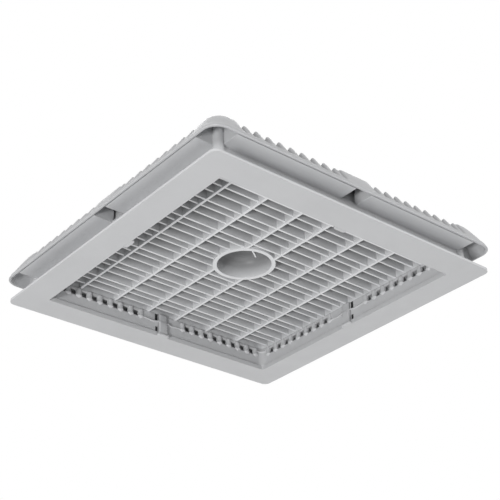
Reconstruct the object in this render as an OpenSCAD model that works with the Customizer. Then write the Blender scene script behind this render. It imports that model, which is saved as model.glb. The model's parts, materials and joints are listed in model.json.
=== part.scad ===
// Square roof-mounted bathroom extractor fan. Millimetres, +Z up.
// Origin: centre of the mounting flange's underside. Room air comes up through the recess.

/* [Mounting flange] */
// Width of the square recess that the flange surrounds
opening_w = 280; // [230:1:340]
// Width of the flat flange border on each side
flange_border = 30; // [26:0.5:40]
// Thickness of the flange
flange_t = 2.6; // [2:0.1:4]
// Radius of the flange's outer corners
flange_r = 7; // [3:0.5:14]
// Radius of the recess's upright corners
recess_r = 7; // [4:0.5:10]
// Corner radius of the opening at the recess's lower edge, below the step
opening_r = 2; // [1:0.5:6]

/* [Riser wall] */
// Distance from the recess to the outside of the double wall
riser_depth = 11.3; // [9:0.1:13]
// Thickness of each skin of the double wall
wall_t = 2.2; // [1.6:0.1:3]
// Height of the thicker band along the foot of the recess
step_h = 5; // [3:0.5:8]
// How far the recess wall is set back above that band
step_in = 1; // [0.5:0.1:1.5]
// Height of the shelf's underside above the flange's underside
shelf_z = 23.8; // [20:0.1:30]
// Thickness of the shelf
shelf_t = 2.3; // [1.8:0.1:4]

/* [Wall windows] */
// Distance from the middle of a side to its first window
window_first = 34; // [30:0.5:40]
// Spacing of the windows
window_pitch = 12.9; // [11:0.1:16]
// Width of one window
window_w = 7; // [4:0.1:9]
// Height of one window
window_h = 6.4; // [3:0.1:7]

/* [Corner posts] */
// Radius of the round screw post at each corner
post_r = 5; // [4.6:0.1:5.5]
// Distance from the recess to the post's centre
post_out = 10; // [9.5:0.1:11]
// Height of the post's top
post_top = 42.5; // [40:0.1:44]

/* [Intake grille] */
// Height of the grille's main ribs
rib_h = 12; // [9:0.5:14]
// Thickness of the main ribs
main_t = 2.6; // [2:0.1:3.5]
// Half the width of the bay that holds the hub
hub_bay = 18; // [15:0.5:22]
// Spacing of the main ribs outside that bay
main_pitch = 42.5; // [36:0.5:50]
// Thickness of the cross ribs
cross_t = 2; // [1.4:0.1:3]
// Spacing of the cross ribs
cross_pitch = 12.04; // [10:0.01:15]
// How far two of every three cross ribs are raised
cross_raise = 1.9; // [0:0.1:3]
// Outer radius of the hub cup
hub_r = 31.6; // [30:0.1:34]
// Radius of the cup's open well
well_r = 27.5; // [24:0.1:29]
// Depth of the well
well_depth = 22; // [18:0.5:23]
// Radius of the well's rounded end
well_round = 9; // [4:0.5:12]
// Thickness of the cup's closed end
hub_cap_t = 2.4; // [2:0.1:3]
// Height from the top of the ribs to the underside of the deck
lead_gap = 4.5; // [4:0.1:6]
// Width of the skirt that carries the deck
skirt_w = 5.5; // [4:0.1:5.5]

/* [Grille clips] */
// Width of a clip's upright
clip_w = 10; // [8:0.5:14]
// Thickness of a clip's upright
clip_t = 2; // [1.5:0.1:2.5]
// Width of a clip's finger tab
tab_w = 14; // [12:0.5:20]
// How far the finger tab reaches into the recess
tab_reach = 4; // [3:0.5:6]

/* [Inlet ring] */
// Thickness of the deck gasket
gasket_t = 0.8; // [0.5:0.1:1.5]
// Thickness of the deck plate
deck_t = 2.2; // [1.8:0.1:3]
// Radius of the air inlet
eye_r = 64; // [60:0.5:66]
// Height of the inlet's collar above the deck
collar_h = 4.2; // [3:0.1:6]
// Wall thickness of that collar
collar_t = 1.5; // [1.2:0.1:2]

/* [Cowl] */
// How far the cowl stands out past the flange
cowl_over = 5; // [3:0.1:8]
// Plan radius of the cowl's corners
cowl_r = 24; // [22:0.5:30]
// Skin thickness of the cowl
cowl_t = 2.6; // [2:0.1:3]
// Rise of the cowl's steep shoulder
shoulder_rise = 9.5; // [7:0.5:12]
// Run over which the shoulder rises
shoulder_run = 7; // [5:0.5:10]
// Rise of the roof above the shoulder
roof_rise = 49.2; // [48:0.1:60]
// Fullness of the roof's curve
roof_power = 3.3; // [3:0.1:4]
// Distance from the middle of a side to its first rib
cowl_rib_first = 26; // [22:0.5:32]
// Spacing of the ribs over the shoulder
cowl_rib_pitch = 13.15; // [12:0.05:16]
// Width of the air slot between two ribs
slot_w = 4.2; // [3:0.1:5.5]
// Length of that slot in plan
slot_l = 22; // [16:0.5:24]

/* [Motor] */
// Radius of the motor base
base_r = 30; // [28:0.5:31]
// Thickness of the motor base
base_t = 2; // [1.8:0.1:2.5]
// Radius of the circle of motor screws
ear_circle = 38.5; // [38:0.1:40]
// Shaft diameter
shaft_d = 5; // [4:0.5:6]
// Outer diameter of the ball bearings
bearing_d = 16; // [15:0.5:17]
// Width of the ball bearings
bearing_w = 5; // [4:0.1:5]
// Outer radius of the stator
stator_r = 30; // [28:0.5:30]
// Height of the stator core
stator_h = 8; // [6:0.5:9]
// Number of stator teeth
teeth = 9; // [6:3:12]
// Air gap between stator and magnets
air_gap = 0.6; // [0.4:0.1:1]
// Thickness of the magnet ring
magnet_t = 2.8; // [2:0.1:3]
// Wall thickness of the rotor can
can_t = 1.5; // [1:0.1:1.8]

/* [Impeller] */
// Radius of the impeller
impeller_r = 90; // [84:1:92]
// Number of blades
blades = 9; // [7:1:11]
// Blade thickness
blade_t = 1.8; // [1.2:0.1:2.5]
// Wall thickness of the impeller's discs
disc_t = 2; // [1.5:0.1:2.5]
// How far the back disc drops from the hub to its edge
disc_drop = 5; // [3:0.5:8]
// Running gap between the impeller and the inlet collar
running_gap = 1.2; // [0.8:0.1:2]

/* [Wiring] */
// Outside length of the terminal box
box_l = 46; // [44:1:50]
// Outside width of the terminal box
box_w = 34; // [32:1:38]
// Height of the terminal box
box_h = 14; // [12:0.5:15]
// Wall thickness of the terminal box
box_t = 2; // [1.6:0.1:2.4]
// Cable hole radius in the rubber grommet
cable_r = 3.2; // [2.5:0.1:4]
// Radius of the motor lead
lead_r = 1.3; // [1:0.1:1.5]

/* [Hidden] */
$fn = 64;

eps = 0.01;
// clearance between parts that don't move against each other
seat_gap = 0.3;
// radial clearance of a shaft in its bearing
run_gap = 0.05;

// plan sizes, as half widths
opening_h = opening_w / 2;
flange_h = opening_h + flange_border;
wall_h = opening_h + step_in;
riser_h = opening_h + riser_depth;
cowl_h = flange_h + cowl_over;
shelf_h = cowl_h - cowl_t - seat_gap;
post_h = opening_h + post_out;
skirt_in = wall_h + 0.5;
skirt_h = skirt_in + skirt_w;
skirt_r = 12;
pocket_w = 19.2;
pocket_end = 23;

// heights
shelf_top = shelf_z + shelf_t;
grille_z = shelf_top;
ribs_top = grille_z + rib_h;
skirt_top = ribs_top + lead_gap;
deck_z = skirt_top + gasket_t;
deck_top = deck_z + deck_t;
collar_top = deck_top + collar_h;
well_top = grille_z + well_depth;
hub_top = well_top + hub_cap_t;
base_top = hub_top + base_t;
window_z = shelf_z - 0.6 - window_h;

// number of items along half a side
window_n = floor((opening_h - window_first - 13) / window_pitch) + 1;
main_n = floor((opening_h - hub_bay - 14) / main_pitch);
cross_n = floor((opening_h - 5) / cross_pitch);
hub_square_h = hub_r + 1.4;
cowl_rib_n = floor((cowl_h - cowl_r - cowl_rib_first - 18) / cowl_rib_pitch) + 1;

// cowl screws and their threaded inserts
cowl_screw_r = 2;
insert_r = 2.9;
insert_l = 9;
cowl_boss_r = 6.4;
// the boss ends inside the cowl's skin, or higher where the roof is higher
boss_edge = cowl_h - post_h - cowl_boss_r;
cowl_boss_top = max(post_top + 5, shelf_z + (rise(boss_edge) + rise_in(boss_edge)) / 2);
head_r = 3.6;
head_h = 2.4;
head_seat = post_top + 3;
cowl_screw_l = 12;

// motor stack
tube_r = bearing_d / 2 + 2.5;
lower_bearing_z = base_top;
board_z = base_top + 1.5;
board_t = 1.6;
stator_z = base_top + 5.5;
stator_top = stator_z + stator_h;
coil_over = 1.8;
upper_bearing_z = stator_top + 0.5;
tube_top = upper_bearing_z + bearing_w;
can_z = base_top + 4;
can_in = stator_r + air_gap + magnet_t;
can_r = can_in + can_t;
can_lid_z = tube_top + 1.5;
can_top = can_lid_z + disc_t;
hub_boss_r = 5;
washer_t = 0.5;
hub_boss_z = tube_top + seat_gap + washer_t;
ear_r = 5.5;
ears = 3;
motor_screw_r = 2;

// impeller
hub_disc_z = can_top;
eye_in = eye_r + collar_t + running_gap;
shroud_z = collar_top - 2;
shroud_edge_z = shroud_z + 5;
back_edge_z = hub_disc_z - disc_drop;
blade_in = eye_in - 5;
weld_gap = 0.04;
hub_screw_circle = 18;
hub_screw_r = 1.5;
hub_screws = 3;

// terminal box
box_x = 72;
box_y = 84;
box_z = deck_top;
lid_t = 2;
lid_z = box_z + box_h;
grommet_x = 92;
grommet_y = 8.5 * cross_pitch;
grommet_neck = 5;
grommet_flange = 6.8;
grommet_lip = 1.6;
lead_in_x = box_x + 7;
lead_in_y = box_y + 8;
block_l = 22;
block_w = 13;
block_h = 10;
block_x = box_x + box_l - box_t - 1 - block_w;
block_y = box_y + 7;

// the cowl's outline: height above its lip at a distance s in from its edge
function rise(s) = shoulder_rise * (1 - exp(-s / shoulder_run))
    + roof_rise * (1 - pow(max(0, 1 - s / cowl_h), roof_power));
function slope(s) = (rise(s + 0.1) - rise(s - 0.1)) / 0.2;
function rise_in(s) = max(0, rise(s) - cowl_t * sqrt(1 + slope(s) * slope(s)));
edge_stations = [2.6, 6, 10, 15, 19];
roof_stations = [32, 44, 60, 84, 120];

module rounded_square(half, r) {
    union() {
        square([2 * half, 2 * (half - r)], center = true);
        square([2 * (half - r), 2 * half], center = true);
        for (x = [-1, 1], y = [-1, 1]) translate([x * (half - r), y * (half - r)]) circle(r);
    }
}

module rounded_plate(half, r, z, t) {
    translate([0, 0, z]) linear_extrude(t) rounded_square(half, r);
}

module box(x, y, z, sx, sy, sz) {
    translate([x, y, z]) cube([sx, sy, sz]);
}

module at_four_sides() {
    for (a = [0, 90, 180, 270]) rotate([0, 0, a]) children();
}

module at_corners(half) {
    for (x = [-1, 1], y = [-1, 1]) translate([x * half, y * half, 0]) children();
}

module ring(r_out, r_in, z, h) {
    translate([0, 0, z]) difference() {
        cylinder(r = r_out, h = h);
        translate([0, 0, -1]) cylinder(r = r_in, h = h + 2);
    }
}

module pan_screw(head_z, shank_r, shank_l, r, h) {
    translate([0, 0, head_z]) difference() {
        cylinder(r = r, h = h);
        box(-r * 0.6, -0.4, h - 0.9, r * 1.2, 0.8, 2);
        box(-0.4, -r * 0.6, h - 0.9, 0.8, r * 1.2, 2);
    }
    translate([0, 0, head_z - shank_l]) cylinder(r = shank_r, h = shank_l + eps);
}

// Frame: flange, double riser wall with windows, shelf with pockets and four screw posts
module window_row() {
    for (i = [0:window_n - 1], m = [-1, 1])
        box(m * (window_first + i * window_pitch) - window_w / 2, wall_h - 1, window_z,
            window_w, wall_t + 2, window_h);
}

// two slots through the inner skin on one side of each clip
module catch_slots() {
    box(-clip_w / 2 - 4.2, wall_h - 1, window_z + 0.8, 3, wall_t + 2, window_h - 0.8);
    box(-clip_w / 2 - 3.2, wall_h - 1, step_h + 0.4, 2.4, wall_t + 2, 4);
}

module shelf_panel() {
    panel_x = pocket_w / 2;
    panel_l = flange_h - pocket_end - panel_x;
    for (m = [0, 1]) mirror([m, 0, 0]) {
        translate([panel_x, 0, 0]) rotate([90, 0, 90]) linear_extrude(panel_l) polygon([
            [riser_h - 1, shelf_z],
            [shelf_h, shelf_z],
            [shelf_h, shelf_z + 0.3],
            [shelf_h - 1.8, shelf_top],
            [riser_h - 1, shelf_top]]);
        for (x = [panel_x, panel_x + panel_l - wall_t])
            translate([x, 0, 0]) rotate([90, 0, 90]) linear_extrude(wall_t) polygon([
                [riser_h - 1, shelf_top - eps],
                [shelf_h - 5, shelf_top - eps],
                [shelf_h - 9, shelf_z + rise_in(cowl_h - shelf_h + 9) - 1],
                [riser_h - 1, shelf_z + rise_in(cowl_h - shelf_h + 9) - 1]]);
    }
}

module base_frame() color([0.74, 0.74, 0.745]) {
    difference() {
        union() {
            rounded_plate(flange_h, flange_r, 0, flange_t);
            rounded_plate(riser_h, post_r, 0, shelf_top);
            at_four_sides() shelf_panel();
            at_corners(post_h) cylinder(r = post_r, h = post_top);
        }
        rounded_plate(opening_h, opening_r, -1, step_h + 1 + eps);
        rounded_plate(wall_h, recess_r, step_h, shelf_top);
        // hollow between the two skins
        difference() {
            rounded_plate(riser_h - wall_t, post_r, flange_t, shelf_z - flange_t);
            rounded_plate(wall_h + wall_t, recess_r, flange_t - 1, shelf_z);
            at_corners(post_h) cylinder(r = post_r + wall_t, h = post_top);
        }
        at_four_sides() window_row();
        for (a = [0, 180]) rotate([0, 0, a]) {
            catch_slots();
            mirror([1, -1, 0]) catch_slots();
        }
        // blind holes for the brass inserts
        at_corners(post_h) translate([0, 0, post_top - insert_l]) cylinder(r = insert_r, h = insert_l + 1);
        at_corners(post_h) translate([0, 0, post_top - cowl_screw_l]) cylinder(r = cowl_screw_r + 0.3, h = cowl_screw_l);
    }
}

// Clips that hold the grille up: an upright on the recess wall and a round-ended finger tab
module grille_clip() {
    box(-clip_w / 2, opening_h - clip_t, 0, clip_w, clip_t, grille_z);
    translate([0, opening_h - tab_reach, 0]) linear_extrude(flange_t) difference() {
        union() {
            translate([-tab_w / 2 + 2, 0]) square([tab_w - 4, tab_reach]);
            translate([-tab_w / 2, 2]) square([tab_w, tab_reach - 2]);
            for (m = [-1, 1]) translate([m * (tab_w / 2 - 2), 2]) circle(2);
        }
    }
}

module grille_clips() color([0.72, 0.72, 0.725]) {
    at_four_sides() grille_clip();
}

// Grille: one moulding in three nodes that meet on flat faces, which are the lattice of ribs, the
// hub cup with the rib ends in the square round it, and the skirt
module rib_lattice() {
    for (m = [-1, 1], i = [0:main_n])
        box(m * (hub_bay + i * main_pitch) - main_t / 2, -skirt_in, grille_z, main_t, 2 * skirt_in, rib_h);
    for (k = [-cross_n:cross_n]) {
        raise = k % 3 == 0 ? 0 : cross_raise;
        box(-skirt_in, k * cross_pitch - cross_t / 2, grille_z + raise, 2 * skirt_in, cross_t, rib_h - raise);
    }
}

module hub_square(over) {
    box(-hub_square_h, -hub_square_h, grille_z - over, 2 * hub_square_h, 2 * hub_square_h, rib_h + 2 * over);
}

module intake_grille() color([0.78, 0.78, 0.785]) {
    difference() {
        rib_lattice();
        hub_square(1);
    }
}

module hub_solid() {
    translate([0, 0, grille_z]) cylinder(r = hub_r, h = hub_top - grille_z);
    for (i = [0:ears - 1]) rotate([0, 0, 90 + i * 360 / ears]) {
        translate([ear_circle, 0, hub_top - 4]) cylinder(r = ear_r, h = 4);
        box(hub_r - 2, -ear_r, hub_top - 4, ear_circle - hub_r + 2, 2 * ear_r, 4);
    }
}

module hub_well() {
    translate([0, 0, grille_z]) rotate_extrude() union() {
        translate([0, -1]) square([well_r, well_depth - well_round + 1]);
        square([well_r - well_round, well_depth]);
        translate([well_r - well_round, well_depth - well_round]) intersection() {
            circle(well_round);
            square(well_round);
        }
    }
}

module hub_cup() color([0.78, 0.78, 0.785]) {
    difference() {
        union() {
            intersection() {
                rib_lattice();
                hub_square(0);
            }
            hub_solid();
        }
        hub_well();
        for (i = [0:ears - 1]) rotate([0, 0, 90 + i * 360 / ears]) translate([ear_circle, 0, hub_top - 5])
            cylinder(r = motor_screw_r + run_gap, h = 6);
    }
    // short fin inside the well
    rotate([0, 0, 36]) box(-24.6, -15.2, grille_z + 1, 15.6, 1.6, well_depth - 2);
}

module grille_skirt() color([0.78, 0.78, 0.785]) {
    difference() {
        rounded_plate(skirt_h, skirt_r, grille_z, skirt_top - grille_z);
        rounded_plate(skirt_in, recess_r, grille_z - 1, skirt_top);
    }
}

module deck_gasket() color([0.15, 0.15, 0.16]) {
    difference() {
        rounded_plate(skirt_h - 0.5, skirt_r, skirt_top, gasket_t);
        rounded_plate(skirt_in + 0.5, recess_r, skirt_top - 1, gasket_t + 2);
        deck_screw_places() cylinder(r = 1.8, h = deck_top);
    }
}

// Deck with the collared air inlet, a cable hole and a lead hole
module inlet_ring() color([0.3, 0.3, 0.31]) {
    difference() {
        union() {
            rounded_plate(skirt_h, skirt_r, deck_z, deck_t);
            translate([0, 0, deck_z]) cylinder(r = eye_r + collar_t, h = collar_top - deck_z);
            translate([0, 0, deck_z]) cylinder(r = eye_r + 3.6, h = deck_t + 1);
        }
        translate([0, 0, deck_z - 1]) cylinder(r = eye_r, h = collar_top);
        translate([grommet_x, grommet_y, deck_z - 1]) cylinder(r = grommet_neck + run_gap, h = deck_t + 2);
        translate([lead_in_x, lead_in_y, deck_z - 1]) cylinder(r = lead_r + 0.7, h = deck_t + 2);
        deck_screw_places() translate([0, 0, deck_z - 1]) cylinder(r = 1.6, h = deck_t + 2);
    }
}

module deck_screw_places() {
    side = skirt_in + skirt_w / 2;
    for (a = [0, 90, 180, 270]) rotate([0, 0, a]) translate([side, 0, 0]) children();
}

module deck_screws() color([0.7, 0.7, 0.72]) {
    deck_screw_places() {
        pan_screw(deck_top, 1.5, deck_top - skirt_top, 2.8, 1.8);
    }
}

// Cowl: a shell whose outline is carried round a rounded square, slotted along its shoulder
module dome_half(stations, inner, s_start) {
    pts = [for (s = stations) [cowl_h - s, shelf_z + (inner ? rise_in(s) : rise(s))]];
    edge_x = cowl_h - s_start;
    edge_z = shelf_z + (inner ? rise_in(s_start) : rise(s_start));
    crown_z = shelf_z + (inner ? rise_in(cowl_h) : rise(cowl_h));
    right = concat([[edge_x, shelf_z - (inner ? 1 : 0)], [edge_x, edge_z]], pts);
    left = [for (i = [len(right) - 1:-1:0]) [-right[i][0], right[i][1]]];
    polygon(concat(right, [[0, crown_z]], left));
}

module dome(inner) {
    lip = inner ? cowl_t : 0;
    core = cowl_h - cowl_r;
    edge = [for (s = edge_stations) if (s > lip) s];
    foot = shelf_z - (inner ? 1 : 0);
    zr = [for (s = concat([lip], edge, [cowl_r])) [cowl_h - s, shelf_z + (inner ? rise_in(s) : rise(s))]];
    // roof, mitred along its diagonals
    intersection() {
        rotate([90, 0, 0]) translate([0, 0, -core]) linear_extrude(2 * core)
            dome_half(roof_stations, inner, cowl_r);
        rotate([90, 0, 90]) translate([0, 0, -core]) linear_extrude(2 * core)
            dome_half(roof_stations, inner, cowl_r);
    }
    // shoulder along the four sides
    at_four_sides() rotate([90, 0, 0]) translate([0, 0, -core]) linear_extrude(2 * core)
        polygon(concat([[core - 1, foot], [cowl_h - lip, foot]], zr, [[core - 1, zr[len(zr) - 1][1]]]));
    // shoulder round the four corners
    for (a = [0, 90, 180, 270]) rotate([0, 0, a]) translate([core, core, 0]) rotate_extrude(angle = 90)
        polygon(concat([[0, foot], [cowl_r - lip, foot]], [for (p = zr) [p[0] - core, p[1]]]));
}

module cowl_slots() {
    for (i = [0:cowl_rib_n - 2], m = [-1, 1])
        box(m * (cowl_rib_first + (i + 0.5) * cowl_rib_pitch) - slot_w / 2, cowl_h - 4 - slot_l,
            shelf_top + 0.4, slot_w, slot_l, rise(cowl_h));
}

module cowl() color([0.73, 0.73, 0.735]) {
    difference() {
        union() {
            difference() {
                dome(false);
                dome(true);
                at_four_sides() cowl_slots();
            }
            at_corners(post_h) translate([0, 0, post_top]) cylinder(r = cowl_boss_r, h = cowl_boss_top - post_top);
        }
        at_corners(post_h) translate([0, 0, post_top - 1]) cylinder(r = cowl_screw_r + 0.2, h = 10);
        at_corners(post_h) translate([0, 0, head_seat]) cylinder(r = head_r + 0.8, h = 20);
    }
}

module cowl_inserts() color([0.78, 0.62, 0.3]) {
    at_corners(post_h) ring(insert_r - 0.02, cowl_screw_r + run_gap, post_top - insert_l, insert_l);
}

module cowl_screws() color([0.7, 0.7, 0.72]) {
    at_corners(post_h) pan_screw(head_seat, cowl_screw_r, cowl_screw_l, head_r, head_h);
}

// Motor: fixed base, board, stator and bearings
module motor_base() color([0.66, 0.67, 0.68]) {
    difference() {
        union() {
            translate([0, 0, hub_top]) cylinder(r = base_r, h = base_t);
            for (i = [0:ears - 1]) rotate([0, 0, 90 + i * 360 / ears]) {
                translate([ear_circle, 0, hub_top]) cylinder(r = ear_r, h = base_t);
                box(0, -ear_r, hub_top, ear_circle, 2 * ear_r, base_t);
                rotate([0, 0, 60]) translate([22, 0, hub_top]) cylinder(r = 2, h = board_z - hub_top);
            }
            translate([0, 0, hub_top]) cylinder(r = tube_r, h = tube_top - hub_top);
        }
        translate([0, 0, hub_top - 1]) cylinder(r = bearing_d / 2, h = base_t + 1 + bearing_w);
        translate([0, 0, hub_top]) cylinder(r = bearing_d / 2 - 1.2, h = tube_top);
        translate([0, 0, upper_bearing_z]) cylinder(r = bearing_d / 2, h = bearing_w + 1);
        for (i = [0:ears - 1]) rotate([0, 0, 90 + i * 360 / ears]) translate([ear_circle, 0, hub_top - 1])
            cylinder(r = motor_screw_r + run_gap, h = base_t + 2);
    }
}

module motor_screws() color([0.7, 0.7, 0.72]) {
    for (i = [0:ears - 1]) rotate([0, 0, 90 + i * 360 / ears]) translate([ear_circle, 0, 0])
        pan_screw(base_top, motor_screw_r, base_t + 4, 3.4, 1.6);
}

module motor_board() color([0.1, 0.36, 0.2]) {
    board_r = base_r - 3;
    difference() {
        translate([0, 0, board_z]) cylinder(r = board_r, h = board_t);
        translate([0, 0, board_z - 1]) cylinder(r = tube_r + 0.5, h = board_t + 2);
    }
    for (a = [10:40:330]) rotate([0, 0, a]) box(15.5, -2, board_z + board_t - eps, 4, 4, 0.5);
}

module stator_core() color([0.45, 0.46, 0.48]) {
    tooth_w = 5;
    translate([0, 0, stator_z]) linear_extrude(stator_h) difference() {
        union() {
            circle(tube_r + 4.5);
            for (i = [0:teeth - 1]) rotate(i * 360 / teeth) {
                translate([0, -tooth_w / 2]) square([stator_r - 1.5, tooth_w]);
                tooth_tip();
            }
        }
        circle(tube_r + run_gap);
    }
}

module tooth_tip() {
    half_angle = 180 / teeth - 4;
    reach = stator_r * 1.5;
    intersection() {
        difference() {
            circle(stator_r);
            circle(stator_r - 2.5);
        }
        polygon([[0, 0], [reach * cos(half_angle), -reach * sin(half_angle)],
            [reach * cos(half_angle), reach * sin(half_angle)]]);
    }
}

module stator_windings() color([0.72, 0.4, 0.2]) {
    coil_in = tube_r + 5.2;
    coil_l = stator_r - 3 - coil_in;
    coil_w = min(9, 2 * (coil_in - 0.4) * tan(180 / teeth));
    for (i = [0:teeth - 1]) rotate([0, 0, i * 360 / teeth]) difference() {
        box(coil_in, -coil_w / 2, stator_z - coil_over, coil_l, coil_w, stator_h + 2 * coil_over);
        box(coil_in - 1, -2.55, stator_z - run_gap, coil_l + 2, 5.1, stator_h + 2 * run_gap);
    }
}

module ball_bearing(z) {
    race_in = shaft_d / 2 + run_gap;
    race_out = bearing_d / 2 - 0.02;
    mid = (race_in + race_out) / 2;
    ball_r = (race_out - race_in) / 4.6;
    ring(race_out, mid + ball_r + run_gap, z, bearing_w);
    ring(mid - ball_r - run_gap, race_in, z, bearing_w);
    for (i = [0:6]) rotate([0, 0, i * 360 / 7]) translate([mid, 0, z + bearing_w / 2])
        sphere(r = ball_r, $fn = 24);
}

module lower_bearing() color([0.75, 0.75, 0.77]) {
    ball_bearing(lower_bearing_z);
}

module upper_bearing() color([0.75, 0.75, 0.77]) {
    ball_bearing(upper_bearing_z);
}

// Rotor: shaft, can, magnets and impeller turn together
module rotor_shaft() color([0.7, 0.7, 0.72]) {
    groove_z = base_top - 1.2;
    difference() {
        translate([0, 0, hub_top + 0.5]) cylinder(r = shaft_d / 2, h = can_top - hub_top - 0.5);
        ring(shaft_d, shaft_d / 2 - 0.5, groove_z, 0.7);
    }
}

module rotor_can() color([0.35, 0.36, 0.38]) {
    difference() {
        union() {
            translate([0, 0, can_z]) cylinder(r = can_r, h = can_top - can_z);
        }
        translate([0, 0, can_z - 1]) cylinder(r = can_in, h = can_lid_z - can_z + 1);
        translate([0, 0, can_z]) cylinder(r = shaft_d / 2, h = 40);
        for (i = [0:hub_screws - 1]) rotate([0, 0, i * 360 / hub_screws])
            translate([hub_screw_circle, 0, can_lid_z - 1]) cylinder(r = hub_screw_r + run_gap, h = 10);
    }
    ring(hub_boss_r, shaft_d / 2, hub_boss_z, can_lid_z - hub_boss_z + eps);
}

module rotor_magnets() color([0.2, 0.2, 0.22]) {
    ring(can_in - 0.02, stator_r + air_gap, can_z + 0.5, can_lid_z - can_z - 3);
}

module preload_washer() color([0.75, 0.75, 0.77]) {
    ring(hub_boss_r - 0.8, shaft_d / 2 + run_gap, hub_boss_z - washer_t, washer_t);
}

module shaft_clip() color([0.3, 0.3, 0.32]) {
    difference() {
        ring(shaft_d / 2 + 2.2, shaft_d / 2 - 0.45, base_top - 1.15, 0.6);
        box(-1.6, 0, base_top - 2, 3.2, shaft_d, 2);
    }
}

module impeller() color([0.2, 0.21, 0.22]) {
    difference() {
        // back disc: flat hub, then a shallow cone out to the edge
        rotate_extrude($fn = 96) polygon([[shaft_d / 2 + 1, hub_disc_z],
            [can_r + 1.5, hub_disc_z], [impeller_r, back_edge_z],
            [impeller_r, back_edge_z + disc_t], [can_r + 1.5, hub_disc_z + disc_t],
            [shaft_d / 2 + 1, hub_disc_z + disc_t]]);
        for (i = [0:hub_screws - 1]) rotate([0, 0, i * 360 / hub_screws])
            translate([hub_screw_circle, 0, hub_disc_z - 1]) cylinder(r = hub_screw_r + 0.2, h = disc_t + 2);
    }
    for (i = [0:blades - 1]) rotate([0, 0, i * 360 / blades]) impeller_blade();
}

// A blade is a slice of a thin round wall between the shroud and the back disc
module impeller_blade() {
    arc_r = 46;
    mid_r = (blade_in + impeller_r) / 2;
    intersection() {
        rotate_extrude($fn = 96) polygon([[blade_in, collar_top + 1.5], [eye_in, collar_top + 1.5],
            [eye_in + 4, shroud_z + 1.8 + disc_t + weld_gap], [impeller_r, shroud_edge_z + disc_t + weld_gap],
            [impeller_r, back_edge_z + 0.5], [blade_in, hub_disc_z - 1.5]]);
        translate([mid_r, -arc_r + 4, shroud_z]) difference() {
            cylinder(r = arc_r, h = 40);
            translate([0, 0, -1]) cylinder(r = arc_r - blade_t, h = 42);
            box(-2 * arc_r, -2 * arc_r, -1, 4 * arc_r, 2 * arc_r, 42);
        }
    }
}

module impeller_shroud() color([0.2, 0.21, 0.22]) {
    rotate_extrude($fn = 96) polygon([[eye_in, shroud_z], [eye_in + disc_t, shroud_z],
        [eye_in + 5, shroud_z + 1.6], [impeller_r, shroud_edge_z], [impeller_r, shroud_edge_z + disc_t],
        [eye_in + 4, shroud_z + 1.8 + disc_t], [eye_in, shroud_z + disc_t]]);
}

module impeller_screws() color([0.7, 0.7, 0.72]) {
    for (i = [0:hub_screws - 1]) rotate([0, 0, i * 360 / hub_screws]) translate([hub_screw_circle, 0, 0])
        pan_screw(hub_disc_z + disc_t, hub_screw_r, disc_t + 1.8, 2.6, 1.5);
}

// Wiring: box on the deck, lid, terminals, grommet and the lead to the motor
module terminal_box() color([0.82, 0.82, 0.8]) {
    difference() {
        box(box_x, box_y, box_z, box_l, box_w, box_h);
        box(box_x + box_t, box_y + box_t, box_z + box_t, box_l - 2 * box_t, box_w - 2 * box_t, box_h);
        translate([grommet_x, grommet_y, box_z - 1]) cylinder(r = grommet_neck + run_gap, h = box_t + 2);
        translate([lead_in_x, lead_in_y, box_z - 1]) cylinder(r = lead_r + 0.7, h = box_t + 2);
    }
    for (p = lid_screw_places()) translate([p[0], p[1], box_z + box_t - eps]) difference() {
        cylinder(r = 2.6, h = box_h - box_t + eps);
        translate([0, 0, 3]) cylinder(r = 1.1, h = box_h);
    }
}

function lid_screw_places() = [
    [box_x + box_t + 1.6, box_y + box_w - box_t - 1.6],
    [box_x + box_l - box_t - 1.6, box_y + box_t + 1.6]];

module terminal_box_lid() color([0.84, 0.84, 0.82]) {
    difference() {
        union() {
            box(box_x, box_y, lid_z, box_l, box_w, lid_t);
            difference() {
                box(box_x + box_t + 0.2, box_y + box_t + 0.2, lid_z - 1.5,
                    box_l - 2 * box_t - 0.4, box_w - 2 * box_t - 0.4, 1.6);
                box(box_x + box_t + 1.4, box_y + box_t + 1.4, lid_z - 2,
                    box_l - 2 * box_t - 2.8, box_w - 2 * box_t - 2.8, 2);
                for (p = lid_screw_places()) translate([p[0], p[1], lid_z - 3]) cylinder(r = 3, h = 3);
            }
        }
        for (p = lid_screw_places()) translate([p[0], p[1], lid_z - 1]) cylinder(r = 1.3, h = lid_t + 2);
    }
}

module lid_screws() color([0.7, 0.7, 0.72]) {
    for (p = lid_screw_places()) translate([p[0], p[1], 0]) pan_screw(lid_z + lid_t, 1.05, 8, 2, 1.3);
}

module terminal_block() color([0.9, 0.89, 0.84]) {
    pole_pitch = block_l / 2;
    difference() {
        box(block_x, block_y, box_z + box_t, block_w, block_l, block_h);
        for (i = [0, 1]) {
            translate([block_x - 1, block_y + (i + 0.5) * pole_pitch, box_z + box_t + 4])
                rotate([0, 90, 0]) cylinder(r = 2, h = block_w + 2);
            for (x = [3.2, block_w - 3.2])
                translate([block_x + x, block_y + (i + 0.5) * pole_pitch, box_z + box_t + 4])
                    cylinder(r = 1.7, h = block_h);
        }
        box(block_x - 1, block_y + pole_pitch - 0.6, box_z + box_t + 6, block_w + 2, 1.2, block_h);
    }
}

module terminal_screws() color([0.75, 0.68, 0.45]) {
    pole_pitch = block_l / 2;
    for (i = [0, 1], x = [3.2, block_w - 3.2])
        translate([block_x + x, block_y + (i + 0.5) * pole_pitch, box_z + box_t + 4.4]) difference() {
            cylinder(r = 1.6, h = 4.4);
            box(-1.2, -0.3, 3.6, 2.4, 0.6, 2);
        }
}

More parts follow.
